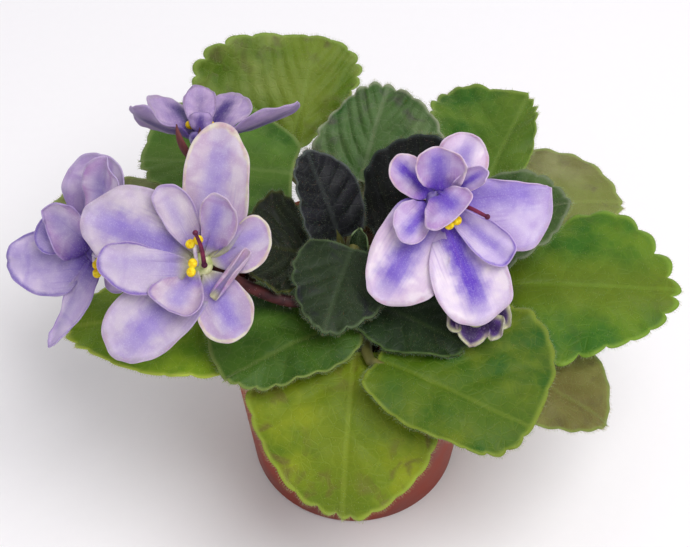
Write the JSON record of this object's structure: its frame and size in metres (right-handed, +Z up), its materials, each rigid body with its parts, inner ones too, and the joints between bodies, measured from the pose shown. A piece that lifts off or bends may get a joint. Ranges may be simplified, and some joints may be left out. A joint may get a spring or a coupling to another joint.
{
  "type": "potted african violet",
  "caption": "Small house plant: a low rosette of velvety scalloped leaves with open ruffled violet blooms, in a plain tapered pot of soil.",
  "frame": {"origin": "centre of the flat foot of the pot, on the surface it stands on", "axes": "+Z up along the pot's axis, -Y towards the side that the picture shows, +X to its right"},
  "size_m": [0.1539, 0.1195, 0.1103],
  "materials": {
    "pot": "smooth matt terracotta-coloured moulded plastic",
    "soil": "moist dark peat mix, crumbly and matt",
    "crown": "soft green plant flesh",
    "outer_leaf": "velvety yellow-green leaf with short hairs",
    "mid_leaf": "velvety mid-green leaf with short hairs",
    "young_leaf": "velvety dark grey-green leaf with pale hairs",
    "old_leaf": "dull olive old leaf, velvety",
    "petals": "thin matt petal, pale lavender with violet bands and a fine sparkle",
    "stamens": "matt bright yellow anthers",
    "pistil": "smooth maroon style and stigma",
    "bud": "dark violet petals with cream edges",
    "flower_stem": "hairy maroon-brown stem and sepals"
  },
  "bodies": {
    "root": {"pot": "pot", "soil": "soil", "crown": "crown", "outer_leaf_01": "outer_leaf", "outer_leaf_02": "old_leaf", "outer_leaf_03": "outer_leaf", "outer_leaf_04": "outer_leaf", "outer_leaf_05": "mid_leaf", "outer_leaf_06": "old_leaf", "outer_leaf_07": "outer_leaf", "outer_leaf_08": "outer_leaf", "outer_leaf_09": "mid_leaf", "outer_leaf_10": "old_leaf", "outer_leaf_11": "mid_leaf", "middle_leaf_01": "mid_leaf", "middle_leaf_02": "mid_leaf", "middle_leaf_03": "young_leaf", "middle_leaf_04": "young_leaf", "young_leaf_01": "young_leaf", "young_leaf_02": "young_leaf", "young_leaf_03": "young_leaf", "front_bloom_petals": "petals", "front_bloom_stamens": "stamens", "front_bloom_pistil": "pistil", "right_bloom_petals": "petals", "right_bloom_stamens": "stamens", "right_bloom_pistil": "pistil", "back_bloom_petals": "petals", "back_bloom_stamens": "stamens", "back_bloom_pistil": "pistil", "left_bloom_petals": "petals", "left_bloom_stamens": "stamens", "left_bloom_pistil": "pistil", "bud_petals": "bud", "left_flower_stems": "flower_stem", "right_flower_stems": "flower_stem"}
  },
  "joints": []
}
